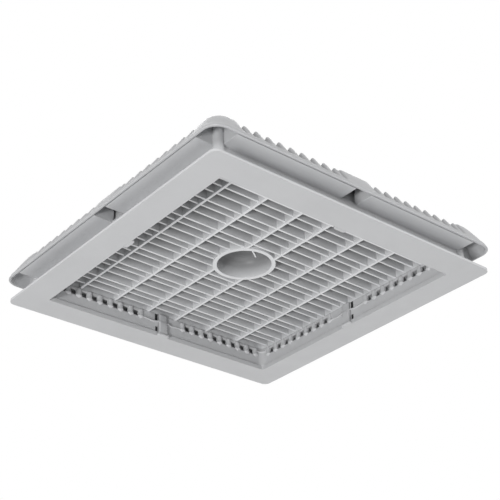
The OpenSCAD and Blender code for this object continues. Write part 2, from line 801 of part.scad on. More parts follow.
module cable_grommet() color([0.12, 0.12, 0.13]) {
    translate([grommet_x, grommet_y, 0]) difference() {
        union() {
            translate([0, 0, deck_z - grommet_lip]) cylinder(r = grommet_flange, h = grommet_lip);
            translate([0, 0, deck_z - eps]) cylinder(r = grommet_neck, h = deck_t + box_t + 2 * eps);
            translate([0, 0, box_z + box_t]) cylinder(r = grommet_flange, h = grommet_lip);
        }
        translate([0, 0, deck_z - grommet_lip - 1]) cylinder(r = cable_r, h = 20);
    }
}

// Two-core lead from the motor board, under the deck and up into the box
function unit(v) = v / norm(v);

// A round tube whose rings lie in the planes that halve each bend
module swept_tube(route, r, sides, across) {
    last = len(route) - 1;
    turn = [for (i = [0:last])
        unit(unit(route[min(i + 1, last)] - route[min(i, last - 1)])
            + unit(route[max(i, 1)] - route[max(i - 1, 0)]))];
    rings = [for (i = [0:last]) let (u = unit(cross(turn[i], across)), v = cross(turn[i], u))
        for (k = [0:sides - 1]) route[i] + r * (cos(k * 360 / sides) * u + sin(k * 360 / sides) * v)];
    walls = [for (i = [0:last - 1], k = [0:sides - 1])
        let (a = i * sides + k, b = i * sides + (k + 1) % sides) [a, a + sides, b + sides, b]];
    polyhedron(rings, concat(walls, [[for (k = [0:sides - 1]) k]],
        [[for (k = [sides - 1:-1:0]) last * sides + k]]));
}

module motor_lead() color([0.12, 0.12, 0.13]) {
    run_z = ribs_top + 0.4 + lead_r;
    exit_z = board_z + board_t / 2 - 0.2;
    side = sqrt(0.5);
    route = [
        [(base_r - 2) * side, (base_r - 2) * side, exit_z],
        [36 * side, 36 * side, exit_z],
        [39 * side, 39 * side, exit_z - 1],
        [41 * side, 41 * side, exit_z - 4],
        [41 * side, 41 * side, run_z + 4],
        [43 * side, 43 * side, run_z + 1],
        [46 * side, 46 * side, run_z],
        [0.94 * lead_in_x, 0.94 * lead_in_y, run_z],
        [lead_in_x, lead_in_y, run_z + 3],
        [lead_in_x, lead_in_y, box_z + box_t + 2],
        [lead_in_x + 2, lead_in_y, box_z + box_t + grommet_lip + lead_r + 1.4],
        [block_x - 7, block_y + 0.25 * block_l, box_z + box_t + grommet_lip + lead_r + 1.4],
        [block_x - 0.3, block_y + 0.25 * block_l, box_z + box_t + 4.2]];
    swept_tube(route, lead_r, 10, [side, -side, 0]);
}

base_frame();
grille_clips();
intake_grille();
hub_cup();
grille_skirt();
deck_gasket();
inlet_ring();
deck_screws();
cowl();
cowl_inserts();
cowl_screws();
motor_base();
motor_screws();
motor_board();
stator_core();
stator_windings();
lower_bearing();
upper_bearing();
rotor_shaft();
rotor_can();
rotor_magnets();
preload_washer();
shaft_clip();
impeller();
impeller_shroud();
impeller_screws();
terminal_box();
terminal_box_lid();
lid_screws();
terminal_block();
terminal_screws();
cable_grommet();
motor_lead();
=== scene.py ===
import json
import math

import bpy
import numpy as np
from mathutils import Matrix


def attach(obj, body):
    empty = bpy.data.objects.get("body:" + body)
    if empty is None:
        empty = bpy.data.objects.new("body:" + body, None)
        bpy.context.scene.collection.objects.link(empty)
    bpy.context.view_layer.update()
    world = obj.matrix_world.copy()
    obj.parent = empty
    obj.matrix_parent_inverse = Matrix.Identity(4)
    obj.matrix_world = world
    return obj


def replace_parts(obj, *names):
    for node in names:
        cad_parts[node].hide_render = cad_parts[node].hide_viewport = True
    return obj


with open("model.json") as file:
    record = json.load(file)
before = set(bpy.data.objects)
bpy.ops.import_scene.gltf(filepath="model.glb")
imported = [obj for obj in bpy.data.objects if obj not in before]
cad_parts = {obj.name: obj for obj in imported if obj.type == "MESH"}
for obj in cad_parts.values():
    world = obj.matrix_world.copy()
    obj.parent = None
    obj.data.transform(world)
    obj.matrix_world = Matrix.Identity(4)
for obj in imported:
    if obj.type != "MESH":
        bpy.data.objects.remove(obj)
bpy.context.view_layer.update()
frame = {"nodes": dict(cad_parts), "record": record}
nodes = frame["nodes"]
MM = 0.001

# Sizes in millimetres. Places along a side are measured from its middle, and s is the distance in from the cowl's edge.
COWL_HALF = 175.0
COWL_CORNER = 16.0
COWL_SKIN = 2.6
COWL_FOOT = 23.8
# the rods over the shoulder: first one, pitch, number on half a side, radius, how far they stand proud, where they end
ROD_FIRST = 26.0
ROD_PITCH = 13.15
ROD_COUNT = 9
ROD_R = 4.5
ROD_PROUD = 3.0
ROD_END = 11.2
# the line of their crests climbs by BAR_SLOPE; BAR_STRETCH is its length for each millimetre in
BAR_SLOPE = 1.53
BAR_STRETCH = math.hypot(1, BAR_SLOPE)
# the air slots between the rods: half width, first and last s
SLOT_HALF = 2.1
SLOT_START = 4.0
SLOT_END = 26.0
# the plain pad at a side's middle, the flank of a corner's hump, and the last column of the mesh on a side
PAD_HALF = 15.3
CORNER_FLANK = 141.6
COLUMN_END = 159.0
# the four screws of the cowl
SCREW_AT = 150.0
WELL_R = 4.5
# the recess: its wall, and the middle line and pitch of its windows
WALL = 141.0
WINDOW_START = 34.0
WINDOW_PITCH = 12.9
POST_COUNT = 9
# the shelf panels' end walls, measured along a side, and how far the cheeks on them are kept from their faces
CHEEK_STARTS = (9.6, 144.8)
CHEEK_THICK = 2.2
CHEEK_INSET = 0.08
# the ledges: heights of a strip's outline, the middle of a corner's turn, and where its straight ends stop
STRIP_HEIGHTS = np.array([-0.55, -0.55, -0.25, 0.25, 0.55, 0.55])
CORNER_MIDDLE = 134.0
LEDGE_END = 129.5
# the motor's coils
COIL_COUNT = 9
COIL_TURNS = 8
COIL_START = 15.7
COIL_LENGTH = 11.3
COIL_HALF_Y = 4.5
COIL_HALF_Z = 5.8
COIL_Z = 66.7
WIRE_RELIEF = 0.45

# Rings of the cowl's mesh, as s. Those of the lip carry the height over the foot and the s of the inner face too.
LIP_RINGS = [(0.75, 0.0, 1.0), (0.3, 0.08, 1.2), (0.05, 0.3, 1.4), (0.0, 0.55, 1.6), (0.12, 0.85, 1.9)]
SHOULDER_RINGS = [0.6, 1.3, 2.2, 3.1, 4.0, 5.2, 7.0, 9.0, 10.8, 11.8, 12.6, 13.3, 14.1, 16.0, 18.5, 21.2]
SHOULDER_RINGS += [22.6, 23.4, 24.2, 25.1, 26.0, 27.1]
ROOF_RINGS = [28.3, 29.4, 30.4, 32.0, 35.0, 40, 47, 56, 67, 81, 97, 114, 132, 148, 160, 169, 173.5]
RINGS = np.array([ring[0] for ring in LIP_RINGS] + SHOULDER_RINGS + ROOF_RINGS)


# ---------------------------------------------------------------- materials
def socket(node, name, value):
    node.inputs[name].default_value = value


def new_material(name, colour, rough, metallic=0.0, specular=0.5, coat=0.0):
    """A Principled material whose plain constants sit on the shader itself; returns what the recipes below add to."""
    mat = bpy.data.materials.new(name)
    mat.use_nodes = True
    tree = mat.node_tree
    shader = tree.nodes["Principled BSDF"]
    socket(shader, "Base Color", (*colour, 1))
    socket(shader, "Roughness", rough)
    socket(shader, "Metallic", metallic)
    socket(shader, "Specular IOR Level", specular)
    socket(shader, "Coat Weight", coat)
    mat.diffuse_color = (*colour, 1)
    coords = tree.nodes.new("ShaderNodeTexCoord")
    return mat, tree, shader, coords


def noise(tree, coords, scale, detail=3.0, roughness=0.55, stretch=None):
    """Fractal noise in object coordinates, stretched along an axis where the finish has a direction."""
    node = tree.nodes.new("ShaderNodeTexNoise")
    socket(node, "Scale", scale)
    socket(node, "Detail", detail)
    socket(node, "Roughness", roughness)
    source = coords.outputs["Object"]
    if stretch is not None:
        mapping = tree.nodes.new("ShaderNodeMapping")
        socket(mapping, "Scale", stretch)
        tree.links.new(source, mapping.inputs["Vector"])
        source = mapping.outputs["Vector"]
    tree.links.new(source, node.inputs["Vector"])
    return node.outputs["Fac"]


def ramp(tree, fac, stops):
    """Colour as a function of a 0-1 value, through the given (place, colour) stops."""
    node = tree.nodes.new("ShaderNodeValToRGB")
    elements = node.color_ramp.elements
    for i, (place, colour) in enumerate(stops):
        e = elements[i] if i < 2 else elements.new(place)
        e.position = place
        e.color = (*colour, 1)
    tree.links.new(fac, node.inputs["Fac"])
    return node.outputs["Color"]


def span(tree, fac, low, high, start=0.3, stop=0.7):
    """A number between low and high as the value goes from start to stop."""
    node = tree.nodes.new("ShaderNodeMapRange")
    socket(node, "From Min", start)
    socket(node, "From Max", stop)
    socket(node, "To Min", low)
    socket(node, "To Max", high)
    tree.links.new(fac, node.inputs["Value"])
    return node.outputs["Result"]


def relief(tree, shader, height, distance, strength=1.0, edge=0.0):
    """Bump from a height field, over normals that are rounded at the edges by the given radius."""
    bump = tree.nodes.new("ShaderNodeBump")
    socket(bump, "Strength", strength)
    socket(bump, "Distance", distance)
    tree.links.new(height, bump.inputs["Height"])
    if edge:
        bevel = tree.nodes.new("ShaderNodeBevel")
        bevel.samples = 6
        socket(bevel, "Radius", edge)
        tree.links.new(bevel.outputs["Normal"], bump.inputs["Normal"])
    tree.links.new(bump.outputs["Normal"], shader.inputs["Normal"])


def shade(colour, k):
    return tuple(min(1.0, c * k) for c in colour)


def painted_depth_shade(tree, coords, colour, start, stop, share):
    """Painted shade: the colour times a factor that falls from one to the given share between two heights, so that a
    surface is drawn darker the higher it lies, as if shaded deep in a hollow.
    """
    split = tree.nodes.new("ShaderNodeSeparateXYZ")
    tree.links.new(coords.outputs["Object"], split.inputs["Vector"])
    scale = tree.nodes.new("ShaderNodeVectorMath")
    scale.operation = "SCALE"
    tree.links.new(colour, scale.inputs["Vector"])
    tree.links.new(span(tree, split.outputs["Z"], 1.0, share, start, stop), scale.inputs["Scale"])
    return scale.outputs["Vector"]


def moulded(name, colour, rough=0.5, grain=0.00003, edge=0.0006, cloud=0.035, depth_shade=None):
    """Injection-moulded plastic: fine spark-eroded grain, faint flow clouds in colour and gloss, softened edges, and,
    where given, painted shade that darkens the colour with height.
    """
    mat, tree, shader, coords = new_material(name, colour, rough, specular=0.42)
    flow = noise(tree, coords, 14.0, 4.0)
    skin = ramp(tree, flow, [(0.25, shade(colour, 1 - cloud)), (0.5, colour), (0.78, shade(colour, 1 + cloud))])
    if depth_shade is not None:
        skin = painted_depth_shade(tree, coords, skin, *depth_shade)
    tree.links.new(skin, shader.inputs["Base Color"])
    tree.links.new(span(tree, noise(tree, coords, 60.0), rough - 0.06, rough + 0.08), shader.inputs["Roughness"])
    relief(tree, shader, noise(tree, coords, 2600.0, 2.0), grain, edge=edge)
    return mat


def turned_metal(name, colour, rough=0.3, stretch=(1, 1, 14), dirt=0.12, edge=0.0003, scale=500.0):
    """Machined metal: fine tool lines across one axis, small changes of gloss and a faint dull film."""
    mat, tree, shader, coords = new_material(name, colour, rough, metallic=1.0)
    film = noise(tree, coords, 90.0, 4.0)
    tree.links.new(
        ramp(tree, film, [(0.3, shade(colour, 1 - dirt)), (0.7, colour)]), shader.inputs["Base Color"]
    )
    lines = noise(tree, coords, scale, 3.0, stretch=stretch)
    tree.links.new(span(tree, lines, rough - 0.08, rough + 0.14), shader.inputs["Roughness"])
    relief(tree, shader, lines, 0.00003, edge=edge)
    return mat


def cast_metal(name, colour, rough=0.42):
    """Die-cast metal: a pebbled skin with slightly darker hollows."""
    mat, tree, shader, coords = new_material(name, colour, rough, metallic=1.0)
    skin = noise(tree, coords, 420.0, 4.0, 0.65)
    tree.links.new(ramp(tree, skin, [(0.35, shade(colour, 0.8)), (0.65, colour)]), shader.inputs["Base Color"])
    tree.links.new(span(tree, skin, rough + 0.12, rough - 0.05), shader.inputs["Roughness"])
    relief(tree, shader, skin, 0.00012, edge=0.0004)
    return mat


def banded(name, dark, light, pitch, rough, metallic, axis=(0, 0, 1), depth=0.00008):
    """Thin layers or turns side by side: a sine band along one axis in colour and relief, roughened by noise."""
    mat, tree, shader, coords = new_material(name, light, rough, metallic=metallic)
    mapping = tree.nodes.new("ShaderNodeMapping")
    socket(mapping, "Scale", axis)
    tree.links.new(coords.outputs["Object"], mapping.inputs["Vector"])
    wave = tree.nodes.new("ShaderNodeTexWave")
    wave.bands_direction = "DIAGONAL"
    socket(wave, "Scale", 0.31416 / pitch)
    socket(wave, "Distortion", 0.15)
    tree.links.new(mapping.outputs["Vector"], wave.inputs["Vector"])
    tree.links.new(ramp(tree, wave.outputs["Fac"], [(0.05, dark), (0.6, light)]), shader.inputs["Base Color"])
    tree.links.new(span(tree, noise(tree, coords, 300.0), rough - 0.05, rough + 0.1), shader.inputs["Roughness"])
    relief(tree, shader, wave.outputs["Fac"], depth, edge=0.0002)
    return mat


def rubbery(name, colour, rough=0.75, bloom=0.25):
    """Soft rubber or foam: fine pores and a pale bloom in patches."""
    mat, tree, shader, coords = new_material(name, colour, rough, specular=0.3)
    patch = noise(tree, coords, 110.0, 4.0)
    tree.links.new(
        ramp(tree, patch, [(0.35, colour), (0.75, shade(colour, 1 + bloom * 2))]), shader.inputs["Base Color"]
    )
    tree.links.new(span(tree, patch, rough - 0.1, rough + 0.1), shader.inputs["Roughness"])
    relief(tree, shader, noise(tree, coords, 1500.0, 2.0), 0.00008, edge=0.0003)
    return mat


def board_laminate(name):
    """Circuit board: green solder mask over copper tracks that show through as paler lanes."""
    mat, tree, shader, coords = new_material(name, (0.02, 0.16, 0.06), 0.32, coat=0.4)
    lanes = tree.nodes.new("ShaderNodeTexVoronoi")
    lanes.feature = "DISTANCE_TO_EDGE"
    socket(lanes, "Scale", 260.0)
    tree.links.new(coords.outputs["Object"], lanes.inputs["Vector"])
    tree.links.new(
        ramp(tree, lanes.outputs["Distance"], [(0.03, (0.05, 0.3, 0.12)), (0.09, (0.015, 0.13, 0.05))]),
        shader.inputs["Base Color"],
    )
    tree.links.new(span(tree, noise(tree, coords, 200.0), 0.25, 0.4), shader.inputs["Roughness"])
    relief(tree, shader, lanes.outputs["Distance"], 0.00005, edge=0.0002)
    return mat


# PLASTIC is one grey, and the frame, grille and cowl copies of it are scaled for the light each part catches: the
# grille's 1.3 is a painted highlight on its bright rib edges, the frame's 0.97 and the cowl's 0.86 are painted shade
PLASTIC = (0.60, 0.605, 0.615)
MATERIALS = {
    "frame_plastic": moulded("frame_plastic", shade(PLASTIC, 0.97)),
    # the grille's colour carries painted shade: from 26.6 to 44 mm up it falls to 0.24 of itself, standing in for the
    # shade deep in its cells and in the hub's cup
    "grille_plastic": moulded("grille_plastic", shade(PLASTIC, 1.3), 0.46, depth_shade=(0.0266, 0.044, 0.24)),
    "cowl_plastic": moulded("cowl_plastic", shade(PLASTIC, 0.86), 0.52),
    "deck_plastic": moulded("deck_plastic", (0.09, 0.09, 0.093), 0.5),
    "box_plastic": moulded("box_plastic", (0.045, 0.047, 0.05), 0.45),
    "block_plastic": moulded("block_plastic", (0.66, 0.64, 0.58), 0.35),
    "impeller_plastic": moulded("impeller_plastic", (0.06, 0.062, 0.068), 0.4),
    "foam_rubber": rubbery("foam_rubber", (0.05, 0.05, 0.052), 0.85),
    "black_rubber": rubbery("black_rubber", (0.02, 0.02, 0.021), 0.6),
    "zinc_steel": turned_metal("zinc_steel", (0.66, 0.67, 0.69), 0.3),
    "bearing_steel": turned_metal("bearing_steel", (0.62, 0.63, 0.65), 0.2),
    "black_steel": turned_metal("black_steel", (0.09, 0.09, 0.095), 0.38),
    "lamination_steel": banded("lamination_steel", (0.12, 0.12, 0.125), (0.34, 0.34, 0.35), 0.0005, 0.4, 1.0),
    "magnet": cast_metal("magnet", (0.2, 0.2, 0.21), 0.5),
    "enamelled_copper": turned_metal("enamelled_copper", (0.62, 0.24, 0.09), 0.3, dirt=0.25),
    "brass": turned_metal("brass", (0.72, 0.52, 0.22), 0.28),
    "cast_aluminium": cast_metal("cast_aluminium", (0.6, 0.61, 0.62)),
    "circuit_board": board_laminate("circuit_board"),
}


# ---------------------------------------------------------------- mesh helpers
def make_piece(name, verts, faces, slot, body="root", angle=32.0):
    """One object from whole arrays of points (mm) and faces, smooth but for edges sharper than angle."""
    mesh = bpy.data.meshes.new(name)
    mesh.from_pydata((np.asarray(verts, float) * MM).tolist(), [], [list(map(int, f)) for f in faces])
    mesh.polygons.foreach_set("use_smooth", np.ones(len(mesh.polygons), bool))
    mesh.set_sharp_from_angle(angle=math.radians(angle))
    mesh.materials.append(MATERIALS[slot])
    mesh.update()
    obj = bpy.data.objects.new(name, mesh)
    bpy.context.scene.collection.objects.link(obj)
    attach(obj, body)
    return obj


def grid_quads(rows, cols, closed=False):
    """Corner indices of a sheet of points, as an array of quads. Closed joins the last column to the first."""
    last = cols if closed else cols - 1
    r, c = np.meshgrid(np.arange(rows - 1), np.arange(last), indexing="ij")
    a = r * cols + c
    b = r * cols + (c + 1) % cols
    return np.stack([a, b, b + cols, a + cols], -1)


def smoothstep(x, low, high):
    t = np.clip((x - low) / (high - low), 0, 1)
    return t * t * (3 - 2 * t)


def thicken(outer, inner, quads):
    """A closed skin between two sheets of points: outer faces, inner faces reversed, a wall along each open edge."""
    quads = quads.reshape(-1, 4)
    n = len(outer)
    edges = np.concatenate([quads[:, [i, (i + 1) % 4]] for i in range(4)])
    key = np.sort(edges, 1)
    code = key[:, 0].astype(np.int64) * n + key[:, 1]
    _, where, count = np.unique(code, return_index=True, return_counts=True)
    rim = edges[where[count == 1]]
    wall = np.stack([rim[:, 1], rim[:, 0], rim[:, 0] + n, rim[:, 1] + n], -1)
    return np.concatenate([outer, inner]), np.concatenate([quads, quads[:, ::-1] + n, wall])


def outward(verts, faces):
    """The same closed solid, with every face turned over if its signed volume, summed over fans of triangles, is
    negative."""
    volume = 0.0
    for face in faces:
        p = verts[face]
        volume += np.einsum("ij,ij->", np.cross(p[1:-1], p[2:]), np.broadcast_to(p[0], p[2:].shape))
    return verts, faces if volume > 0 else [face[::-1] for face in faces]


def loft(sections):
    """Points and faces of a closed solid through equal closed sections, with a flat cap at each end."""
    count, m = len(sections), len(sections[0])
    faces = grid_quads(count, m, closed=True).reshape(-1, 4).tolist()
    return outward(np.concatenate(sections), faces + [list(range(m))[::-1], [(count - 1) * m + i for i in range(m)]])


def gather(solids):
    """Several point and face sets as one."""
    verts, faces, base = [], [], 0
    for v, f in solids:
        verts.append(v)
        faces += [[i + base for i in face] for face in f]
        base += len(v)
    return np.concatenate(verts), faces


def turned(x, y, z, quarter):
    """Points turned by quarter turns about the upright axis."""
    a = math.radians(90 * quarter)
    return np.stack([x * math.cos(a) - y * math.sin(a), x * math.sin(a) + y * math.cos(a), z], -1)


# ---------------------------------------------------------------- cowl
def roof_rise(s):
    """Height of the roof over the cowl's foot, s mm in from the edge: a quick exponential shoulder plus a slow dome."""
    return 9.5 * (1 - np.exp(-s / 7.0)) + 49.2 * (1 - np.maximum(0, 1 - s / COWL_HALF) ** 3.3)


def bar_rise(s):
    """Height of the line that the rods' crests lie on: a quick rise at the lip, then straight in at 57 degrees."""
    return 2.5 * (1 - np.exp(-s / 0.9)) + BAR_SLOPE * s


def skin_rise(s):
    """Height of the skin between the rods: the bar line, less a depth that grows over the first 9 mm, blended into
    the roof, less 2.5 mm that fades out further in."""
    shoulder = bar_rise(s) - ROD_PROUD * BAR_STRETCH * smoothstep(s, 1, 9)
    roof = roof_rise(s) - 2.5 * (1 - smoothstep(s, 30, 80))
    w = smoothstep(s, 7, 14)
    return (1 - w) * shoulder + w * roof


def round_drop(u):
    """How far a round bar of radius ROD_R has fallen away at a distance u from its middle line."""
    return ROD_R - np.sqrt(np.maximum(ROD_R**2 - u**2, 0))


def softer_min(a, b):
    """The lesser of two heights, rounded over where they cross."""
    return 0.5 * (a + b - np.hypot(a - b, 1.4))


def cowl_height(along, s):
    """Height of the cowl over its foot at a place along a side and s mm in from the edge: the highest of these four.

    The skin. Nine rods a half side: a round bar on the bar line, whose upper end is round because u there is measured
    from the line's end. A pad at the middle and a hump over each corner: the lesser of the bar line and a roof that
    swells where the bars end, with the same round flank, and on the roof the hump's flank runs along the hip."""
    t = np.abs(along)
    skin = skin_rise(s)
    z = skin
    for i in range(ROD_COUNT):
        u = np.hypot(t - ROD_FIRST - i * ROD_PITCH, np.maximum(0, s - ROD_END) * BAR_STRETCH)
        z = np.maximum(z, np.where(u < ROD_R, bar_rise(s) - round_drop(u) * BAR_STRETCH, 0))
    swell = softer_min(bar_rise(s) + 0.3, roof_rise(s) + 4.4 * np.exp(-(((s - 12.5) / 6) ** 2)))
    share = np.clip(1 - round_drop(np.maximum(0, CORNER_FLANK - t - np.maximum(0, s - 20))) / ROD_PROUD, 0, 1)
    z = np.maximum(z, skin + (swell - skin) * share)
    share = np.clip(1 - round_drop(np.maximum(0, t - PAD_HALF)) / ROD_PROUD, 0, 1)
    return np.maximum(z, skin + (swell - skin) * share)


def skin_drop(s):
    """Height from the outer face straight down to the inner one, for a skin that is thin at the lip."""
    slope = (skin_rise(s + 0.1) - skin_rise(np.maximum(s - 0.1, 0))) / 0.2
    return (1.0 + 1.6 * smoothstep(s, 3, 14)) * np.hypot(slope, 1)


def cowl_columns():
    """Places along half a side where the mesh has a column: few on plain parts, close at rod flanks and slots."""
    t = [0.0, 8.0, PAD_HALF, 17.4, 18.8, 19.6]
    for i in range(ROD_COUNT):
        c = ROD_FIRST + i * ROD_PITCH
        t += [c - 4.24, c - 4.0, c - 3.1, c - 1.6, c, c + 1.6, c + 3.1, c + 4.0, c + 4.24]
        if i < ROD_COUNT - 1:
            m = c + ROD_PITCH / 2
            t += [m - SLOT_HALF, m - 1.2, m + 1.2, m + SLOT_HALF]
    return np.array(t + [137.36, 137.6, 138.4, 139.8, CORNER_FLANK, 143, 144.3, 145.6, 147, 148.3, 149.6, COLUMN_END])


def slot_gap(along):
    """Distance from each place along a side to the nearest slot's middle line."""
    centres = ROD_FIRST + (np.arange(ROD_COUNT - 1) + 0.5) * ROD_PITCH
    return np.abs(np.abs(along)[:, None] - centres[None, :]).min(1)


def screw_distance(points):
    """Distance of each point from the nearest corner screw's axis."""
    return np.hypot(np.abs(points[:, 0]) - SCREW_AT, np.abs(points[:, 1]) - SCREW_AT)


def ring_reach(xy):
    """How far out a place lies, measured across the rounded square rings near the corners."""
    x, y = np.abs(xy).T
    return np.where((x > 141.5) & (y > 141.5), 141.5 + np.hypot(x - 141.5, y - 141.5), np.maximum(x, y))


def pull_to_well(points, rim, slope):
    """Moves the rim of each screw opening straight toward its axis onto a circle, and down the roof's slope with it."""
    p = points[rim]
    d = screw_distance(p)
    sign = np.sign(p[:, :2])
    offset = p[:, :2] - sign * SCREW_AT
    moved = sign * SCREW_AT + offset * (WELL_R / d)[:, None]
    points[rim] = np.column_stack([moved, p[:, 2] + slope * (ring_reach(p[:, :2]) - ring_reach(moved))])


def corner_radius(s):
    """Radius of a ring's corner: nearly the same from ring to ring, and less near the crown."""
    wide = COWL_CORNER - 0.2 * np.minimum(s, 20) + 0.1 * np.maximum(0, s - 20)
    return np.minimum(wide, 0.9 * (COWL_HALF - s))


def side_places(side, straight):
    """Places of a ring's columns along a side whose straight part has the given half length. Columns up to the held one
    stay in line from ring to ring, and the rest are spread between it and the corner."""
    held = 128 + 9.6 * min(max((straight - 138) / 5, 0), 1)
    free = min(held, 0.96 * straight)
    t = np.abs(side)
    t = np.where(t > held, free + (t - held) * (straight - free) / (COLUMN_END - held), t * free / held)
    return t * np.sign(side)


def slot_cap(gap):
    """How far short of its full length a slot falls at a distance gap from its middle line, so that it ends round."""
    reach = np.sqrt(np.maximum(0, SLOT_HALF**2 - np.minimum(gap, SLOT_HALF) ** 2))
    return np.where(gap < SLOT_HALF + 0.05, SLOT_HALF - reach, 0.0)


def cowl_ring(k, side, cap):
    """Outer and inner points of one ring: a side and a rounded corner, four times over.

    The rings beside a slot's ends bow in and out by its cap. The inner face lies straight below by skin_drop, and
    at the lip a little further in."""
    s = RINGS[k]
    straight = COWL_HALF - s - corner_radius(s)
    t = side_places(side, straight)
    depth = np.full(len(side), s)
    if k < len(LIP_RINGS):
        height, depth_in = (np.full(len(side), value) for value in LIP_RINGS[k][1:])
        height_in = np.zeros(len(side))
    else:
        depth = depth + cap * (max(0.0, 1 - abs(s - SLOT_START) / 2.6) - max(0.0, 1 - abs(s - SLOT_END) / 3.4))
        height = cowl_height(t, depth)
        height_in = np.maximum(0, height - skin_drop(depth))
        depth_in = depth + 1.6 * (1 - smoothstep(depth, 0, 9))
    arc = np.radians(np.linspace(0, 90, 19)[1:-1] - 90)
    faces = []
    for d, h in ((depth, height), (depth_in, height_in)):
        out = COWL_HALF - d
        r = max(0.05, out[-1] - straight)
        cx, cy = straight + r * np.cos(arc), -straight + r * np.sin(arc)
        ring = []
        for quarter in range(4):
            ring.append(turned(t, -out, COWL_FOOT + h, quarter))
            ring.append(turned(cx, cy, np.full(len(arc), COWL_FOOT + h[-1]), quarter))
        faces.append(np.concatenate(ring))
    return faces


def slot_columns(in_slot, cols):
    """Which columns of quads, all the way round, lie in an air slot."""
    open_col = np.zeros(cols, bool)
    for quarter in range(4):
        start = quarter * cols // 4
        open_col[start : start + len(in_slot) - 1] = in_slot[:-1] & in_slot[1:]
    return open_col


def screw_rim(points, quads, keep):
    """The rim of the screw openings: the points near a screw that both a kept and a dropped face use."""
    used, dropped = np.zeros(len(points), bool), np.zeros(len(points), bool)
    used[quads[keep].ravel()] = True
    dropped[quads[~keep].ravel()] = True
    return np.nonzero((screw_distance(points) < WELL_R + 3) & used & dropped)[0]


def cowl():
    """The domed cowl: one skin from lip to crown over a rounded square.

    Each ring of points is a rounded square s mm in from the edge, at cowl_height. Its corner radius is nearly the same
    in each, so the hips are round. The slots and the four screw openings are left out of the sheet, the rim round a
    screw is drawn to a circle, and a fan closes each face over the last ring."""
    half = cowl_columns()
    side = np.concatenate([-half[::-1], half[1:]])
    gap = slot_gap(side)
    cap = slot_cap(gap)
    rings = [cowl_ring(k, side, cap) for k in range(len(RINGS))]
    outer, inner = (np.concatenate([ring[face] for ring in rings]) for face in (0, 1))
    rows, cols = len(RINGS), len(rings[0][0])
    quads = grid_quads(rows, cols, closed=True)
    keep = (screw_distance(outer)[quads] > WELL_R).all(-1)
    first, last = RINGS.tolist().index(SLOT_START), RINGS.tolist().index(SLOT_END)
    keep[np.ix_(np.arange(first, last), slot_columns(gap < SLOT_HALF + 0.05, cols))] = False
    rim = screw_rim(outer, quads, keep)
    pull_to_well(outer, rim, 0.75)
    pull_to_well(inner, rim, 0.75)
    peak = COWL_FOOT + roof_rise(COWL_HALF)
    top = np.full(cols, len(outer))
    outer = np.concatenate([outer, [[0, 0, peak]]])
    inner = np.concatenate([inner, [[0, 0, peak - COWL_SKIN]]])
    ring = (rows - 1) * cols + np.arange(cols)
    fan = np.stack([ring, np.roll(ring, -1), top, top], -1)
    verts, faces = thicken(outer, inner, np.concatenate([quads[keep], fan]))
    faces = [list(dict.fromkeys(f)) for f in faces.tolist()]
    obj = make_piece("cowl_shell", verts, [f for f in faces if len(f) > 2], "cowl_plastic", angle=34)
    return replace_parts(obj, "cowl")


def lathe(profile, centre, count=48):
    """A closed solid of revolution: a closed outline of (radius, height) turned about an upright axis."""
    r, z = np.array(profile, float).T
    a = np.linspace(0, 2 * math.pi, count, endpoint=False)
    x = centre[0] + np.outer(np.cos(a), r)
    y = centre[1] + np.outer(np.sin(a), r)
    verts = np.stack([x, y, np.broadcast_to(z, x.shape)], -1).reshape(-1, 3)
    i, j = np.meshgrid(np.arange(count), np.arange(len(r)), indexing="ij")
    i2, j2 = (i + 1) % count, (j + 1) % len(r)
    m = len(r)
    quads = np.stack([i * m + j, i2 * m + j, i2 * m + j2, i * m + j2], -1).reshape(-1, 4)
    return outward(verts, quads.tolist())


def screw_bosses():
    """The cowl's four screw bosses: an upright tube with a seat inside for the screw's head, its top in the skin."""
    outline = [(2.2, 42.5), (6.2, 42.5), (6.4, 42.7), (6.4, 47.6), (5.6, 48.6), (4.4, 48.6), (4.4, 45.5), (2.2, 45.5)]
    tubes = [lathe(outline, (x, y)) for x in (-SCREW_AT, SCREW_AT) for y in (-SCREW_AT, SCREW_AT)]
    return make_piece("cowl_bosses", *gather(tubes), "cowl_plastic")


# ---------------------------------------------------------------- recess details
def wall_point(along, proud, z, quarter):
    """A place on a recess wall: along the wall, proud of its face into the recess, at a height."""
    return turned(np.asarray(along, float), -(WALL - np.asarray(proud, float)), np.asarray(z, float), quarter)


def window_posts():
    """Half-round posts between the windows. A post's section is a half ellipse, whose half width is 2.7 mm beside
    the opening, widens a little at the sill, and tapers to a point with its depth in a small gusset below."""
    heights = np.array([14.6, 15.1, 15.8, 16.4, 16.9, 17.6, 18.6, 20.4, 22.0, 23.4, 24.6])
    widths = np.array([0.5, 1.2, 2.4, 3.4, 3.8, 3.5, 2.9, 2.7, 2.7, 2.7, 2.7])
    depths = np.array([0.1, 0.5, 1.1, 1.6, 1.9, 1.9, 1.8, 1.8, 1.8, 1.8, 1.8])
    angle = np.radians(np.linspace(0, 180, 11))
    solids = []
    for quarter in range(4):
        for sign in (-1, 1):
            for i in range(POST_COUNT):
                centre = sign * (WINDOW_START + WINDOW_PITCH * (i - 0.5))
                rings = []
                for z, w, d in zip(heights, widths, depths):
                    x = np.concatenate([centre + w * np.cos(angle), [centre - w, centre + w]])
                    y = np.concatenate([d * np.sin(angle), [-0.6, -0.6]])
                    rings.append(wall_point(x, y, np.full(len(x), z), quarter)[::-1])
                solids.append(loft(rings))
    return make_piece("window_posts", *gather(solids), "frame_plastic", angle=40)


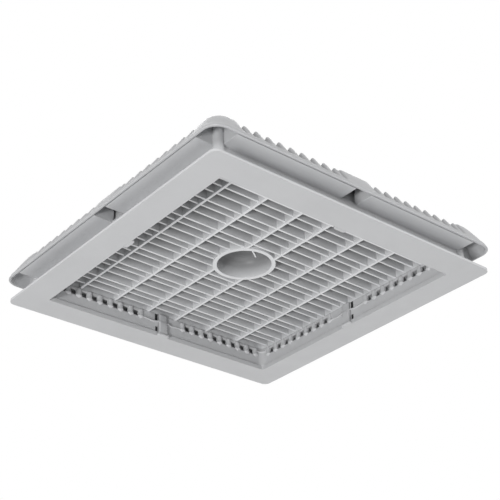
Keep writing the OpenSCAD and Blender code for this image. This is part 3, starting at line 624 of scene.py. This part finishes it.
def pocket_cheeks():
    """Upright webs at the ends of the shelf panels. Each carries the panel's end wall on up to the cowl: a plate whose
    top edge runs through the middle of the cowl's skin."""
    s = np.array([1.3, 2.2, 3.1, 4.0, 5.2, 7.0, 9.0, 10.8, 12.6, 16.0, 20.0, 24.0])
    out = COWL_HALF - s - 0.8 * (1 - smoothstep(s, 0, 9))
    solids = []
    for start in CHEEK_STARTS:
        z = COWL_FOOT + cowl_height(np.full(len(s), start + CHEEK_THICK / 2), s) - 0.5 * skin_drop(s)
        ys = np.concatenate([[151.0, 170.2, 172.0], out])
        zs = np.concatenate([[25.9, 25.9, 24.4], z])
        for quarter in range(4):
            for sign in (-1, 1):
                faces_at = (start + CHEEK_INSET, start + CHEEK_THICK - CHEEK_INSET)
                solids.append(loft([turned(np.full(len(ys), sign * x), -ys, zs, quarter) for x in faces_at]))
    return make_piece("pocket_cheeks", *gather(solids), "frame_plastic")


def clip_body():
    """The four grille clips: an upright of 10 mm that stands proud of the wall and thins toward its hooked top, with a
    round-ended finger tab at the foot. Sections are rounded rectangles whose depth changes with height."""
    heights = np.array([0.0, 0.5, 2.1, 2.6, 3.0, 4.5, 10.0, 15.0, 16.6, 17.6, 19.0, 24.6, 25.6, 26.0])
    reach = np.array([4.6, 5.0, 5.0, 4.6, 4.4, 4.3, 4.1, 3.9, 3.7, 3.2, 2.9, 2.9, 2.7, 2.3])
    widths = np.array([6.6, 7.0, 7.0, 6.6, 5.0, 5.0, 5.0, 5.0, 5.0, 5.0, 4.8, 4.8, 4.6, 4.2])
    angle = np.radians(np.array([0, 22, 45, 68, 90]))
    solids = []
    for quarter in range(4):
        rings = []
        for z, d, w in zip(heights, reach, widths):
            r = 1.1 if w < 6 else 2.2
            right_x, right_y = w - r + r * np.cos(angle), d - r + r * np.sin(angle)
            x = np.concatenate([right_x, -right_x[::-1], [-w, w]])
            y = np.concatenate([right_y, right_y[::-1], [1.05, 1.05]])
            rings.append(wall_point(x, y, np.full(len(x), z), quarter)[::-1])
        solids.append(loft(rings))
    obj = make_piece("clip_body", *gather(solids), "frame_plastic", angle=40)
    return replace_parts(obj, "grille_clips")


def painted_slot_shade():
    """Black plates that paint the shade of a slot on one side of each clip: two thin upright plates that lie 0.15 mm
    proud of the wall.
    """
    solids = []
    for quarter in range(4):
        sign = -1 if quarter % 2 else 1
        for near, far, low, high in ((6.0, 9.4, 19.0, 25.7), (5.7, 8.6, 5.6, 10.9)):
            proud, z = [-0.8, 0.15, 0.15, -0.8], [low, low, high, high]
            solids.append(loft([wall_point(np.full(4, sign * a), proud, z, quarter) for a in (near, far)]))
    return make_piece("painted_slot_shade", *gather(solids), "black_rubber")


def swept_ledge(stations):
    """A thin ledge on a wall: at each station (along, proud, height, quarter turn) its section is a rounded strip."""
    rings = []
    for along, proud, z, quarter in stations:
        y = np.array([-0.6, proud - 0.35, proud, proud, proud - 0.35, -0.6])
        rings.append(wall_point(np.full(6, along), y, z + STRIP_HEIGHTS, quarter))
    return loft(rings)


def clip_ledge(sign, quarter):
    """The ledge from a clip's top to the first window: proudest at the clip, and lowest a third of the way along."""
    run = np.linspace(5.2, 27.0, 13)
    proud = 1.0 + 2.6 * np.exp(-(run - 5.2) / 6.0)
    z = 17.3 - 1.1 * np.exp(-(((run - 12.0) / 6.0) ** 2))
    return swept_ledge([(sign * a, p, h, quarter) for a, p, h in zip(run, proud, z)])


def corner_ledge(quarter):
    """The thin ledge round an upper corner of the recess: a strip carried along a quarter circle between two walls."""
    r = WALL - CORNER_MIDDLE
    angle = np.radians(np.linspace(0, 90, 9))
    turn = [(CORNER_MIDDLE + r * math.sin(a), CORNER_MIDDLE + r * math.cos(a), a) for a in angle]
    rings = []
    for x, y, a in [(LEDGE_END, WALL, 0.0), *turn, (WALL, LEDGE_END, math.pi / 2)]:
        proud = np.array([-0.6, 1.3, 1.7, 1.7, 1.3, -0.6])
        rings.append(turned(x - math.sin(a) * proud, -(y - math.cos(a) * proud), 21.6 + STRIP_HEIGHTS, quarter))
    return loft(rings)


def ledges():
    """Ledges that sweep from each clip's top to the first window, and thin ones that turn each upper corner."""
    solids = []
    for quarter in range(4):
        solids += [clip_ledge(-1, quarter), clip_ledge(1, quarter), corner_ledge(quarter)]
    return make_piece("wall_ledges", *gather(solids), "frame_plastic", angle=40)


# ---------------------------------------------------------------- motor
def rounded_route(points, passes=3):
    """A route with its corners cut: each pass puts points a quarter and three quarters along every leg."""
    p = np.array(points, float)
    for _ in range(passes):
        cut = np.stack([0.75 * p[:-1] + 0.25 * p[1:], 0.25 * p[:-1] + 0.75 * p[1:]], 1).reshape(-1, 3)
        p = np.concatenate([p[:1], cut, p[-1:]])
    return p


def tube(path, radius, count=12):
    """A round tube along a path: at each point a circle across the path, held level by a fixed sideways direction."""
    along = np.gradient(path, axis=0)
    along /= np.linalg.norm(along, axis=1)[:, None]
    side = np.cross(along, [-0.7071, 0.7071, 0.02])
    side /= np.linalg.norm(side, axis=1)[:, None]
    other = np.cross(along, side)
    a = np.linspace(0, 2 * math.pi, count, endpoint=False)
    across = side[:, None] * np.cos(a)[None, :, None] + other[:, None] * np.sin(a)[None, :, None]
    return loft(list(path[:, None] + radius * across))


def motor_lead():
    """The sheathed lead from the motor board, through the hub's ear and along the grille, up to the terminals."""
    route = [
        (19.8, 19.8, 54.6), (25.5, 25.5, 54.6), (27.6, 27.6, 53.6), (29, 29, 50.6), (29, 29, 43.8), (30.4, 30.4, 40.8),
        (32.5, 32.5, 39.8), (74.3, 86.5, 39.8), (79, 92, 42.8), (79, 92, 49.6), (81, 92, 51.9), (95, 96.5, 51.9),
        (101.7, 96.5, 51.8),
    ]
    obj = make_piece("motor_lead_sheath", *tube(rounded_route(route), 1.3), "black_rubber", angle=60)
    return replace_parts(obj, "motor_lead")


def oblong(half_y, half_z, r):
    """Outline of a rounded oblong with the given half sizes and corner radius."""
    corner = np.radians(np.linspace(0, 90, 6))
    y, z = half_y - r + r * np.cos(corner), half_z - r + r * np.sin(corner)
    return np.concatenate([y, -y[::-1], -y, y[::-1]]), np.concatenate([z, z[::-1], -z, -z[::-1]])


def stator_coils():
    """Coils of enamelled wire, one round each tooth of the stator.

    A coil is a closed loop of turns: a rounded oblong in the upright plane across the tooth, carried along the tooth.
    Its outer face is scalloped by |cos| once per turn, which shows the wires side by side."""
    sheet = []
    for share in np.linspace(0, 1, COIL_TURNS * 6 + 1):
        lift = 0.42 * (1 - abs(math.cos(math.pi * COIL_TURNS * share))) - WIRE_RELIEF
        sheet.append((COIL_START + share * COIL_LENGTH, *oblong(COIL_HALF_Y + lift, COIL_HALF_Z + lift, 2.2)))
    sheet += [(r, *oblong(2.6, 4.15, 0.5)) for r in (COIL_START + COIL_LENGTH, COIL_START)]
    m, n = len(sheet), len(sheet[0][1])
    first = np.arange(n)
    last = (m - 1) * n + first
    close = np.stack([last, np.roll(last, -1), np.roll(first, -1), first], -1)
    faces = np.concatenate([grid_quads(m, n, closed=True).reshape(-1, 4), close]).tolist()
    solids = []
    for i in range(COIL_COUNT):
        sections = [turned(np.full(n, r), y, COIL_Z + z, 4 * i / COIL_COUNT) for r, y, z in sheet]
        solids.append(outward(np.concatenate(sections), faces))
    obj = make_piece("stator_coils", *gather(solids), "enamelled_copper", angle=50)
    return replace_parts(obj, "stator_windings")


motor_lead()
stator_coils()
cowl()
screw_bosses()
window_posts()
clip_body()
painted_slot_shade()
ledges()
pocket_cheeks()

# ---------------------------------------------------------------- finish of the CAD nodes
for part in frame["record"]["subparts"]:
    slots = nodes[part["node"]].data.materials
    for i in range(len(slots)):
        slots[i] = MATERIALS[part["material_slot"]]


# ---------------------------------------------------------------- stage
# Lamps in metres and watts: name, place, size of the disk, power. All aim at the origin.
LAMPS = [
    ("key", (-1.6, -0.75, -0.9), 0.4, 19),
    ("below", (-0.4, -0.5, -1.9), 1.2, 9),
    ("left", (-1.9, 0.1, 0.4), 1.0, 10),
    ("front", (0.5, -1.9, 0.3), 1.0, 18),
    ("above", (1.3, 1.6, 2.0), 1.6, 40),
    ("far", (1.7, 1.5, 0.05), 1.3, 9),
]
FLOOR_HALF = 2.4
FLOOR_Z = -2.2
WORLD_STRENGTH = 0.27
# The camera looks up at the recess: its place in metres, and the right, down and depth axes of its view
CAMERA_AT = (-0.66816, -0.80668, -0.56714)
CAMERA_RIGHT = np.array([0.78254, -0.62248, -0.01201])
CAMERA_DOWN = np.array([0.30525, 0.40040, -0.86400])
CAMERA_FORWARD = np.array([0.54264, 0.67245, 0.50334])


def place_by_axes(name, data, x, y, z, place):
    """An object whose three axes and place are given."""
    obj = bpy.data.objects.new(name, data)
    bpy.context.scene.collection.objects.link(obj)
    m = np.eye(4)
    m[:3, 0], m[:3, 1], m[:3, 2], m[:3, 3] = x, y, z, place
    obj.matrix_world = Matrix(m.tolist())
    return obj


def studio_floor():
    """A pale sheet of paper well below the object."""
    h = FLOOR_HALF
    mesh = bpy.data.meshes.new("studio_floor")
    mesh.from_pydata([(-h, -h, FLOOR_Z), (h, -h, FLOOR_Z), (h, h, FLOOR_Z), (-h, h, FLOOR_Z)], [], [(0, 1, 2, 3)])
    obj = bpy.data.objects.new("studio_floor", mesh)
    bpy.context.scene.collection.objects.link(obj)
    mat, tree, shader, coords = new_material("floor_paper", (0.8, 0.8, 0.8), 0.9)
    paper = ramp(tree, noise(tree, coords, 3.0), [(0.3, (0.79, 0.79, 0.79)), (0.7, (0.81, 0.81, 0.81))])
    tree.links.new(paper, shader.inputs["Base Color"])
    mesh.materials.append(mat)
    return obj


def soft_light(name, place, size, power):
    """A disk of light that faces the origin."""
    data = bpy.data.lights.new(name, "AREA")
    data.shape = "DISK"
    data.size = size
    data.energy = power
    z = np.array(place) / np.linalg.norm(place)
    x = np.cross([0, 0, 1.0], z)
    x = x / np.linalg.norm(x)
    return place_by_axes(name, data, x, np.cross(z, x), z, place)


def studio_world():
    """A dim even sky that lights the object, and that looks white to the camera and in reflections."""
    world = bpy.data.worlds.new("studio_world")
    bpy.context.scene.world = world
    world.use_nodes = True
    tree = world.node_tree
    tree.nodes.clear()
    skies = []
    for strength in (WORLD_STRENGTH, 1.0):
        sky = tree.nodes.new("ShaderNodeBackground")
        socket(sky, "Color", (1, 1, 1, 1))
        socket(sky, "Strength", strength)
        skies.append(sky)
    path = tree.nodes.new("ShaderNodeLightPath")
    either = tree.nodes.new("ShaderNodeMath")
    either.operation = "MAXIMUM"
    tree.links.new(path.outputs["Is Camera Ray"], either.inputs[0])
    tree.links.new(path.outputs["Is Glossy Ray"], either.inputs[1])
    mix = tree.nodes.new("ShaderNodeMixShader")
    tree.links.new(either.outputs[0], mix.inputs["Fac"])
    tree.links.new(skies[0].outputs[0], mix.inputs[1])
    tree.links.new(skies[1].outputs[0], mix.inputs[2])
    out = tree.nodes.new("ShaderNodeOutputWorld")
    tree.links.new(mix.outputs[0], out.inputs["Surface"])


def view_camera():
    data = bpy.data.cameras.new("view_camera")
    data.sensor_width = 36
    data.lens = 86.47
    data.shift_x = 0.0388
    data.shift_y = 0.0005
    data.clip_start = 0.01
    return place_by_axes("view_camera", data, CAMERA_RIGHT, -CAMERA_DOWN, -CAMERA_FORWARD, CAMERA_AT)


floor = studio_floor()
for lamp in LAMPS:
    soft_light(*lamp)
studio_world()
bpy.context.scene.camera = view_camera()
bpy.context.scene.view_settings.view_transform = "Standard"
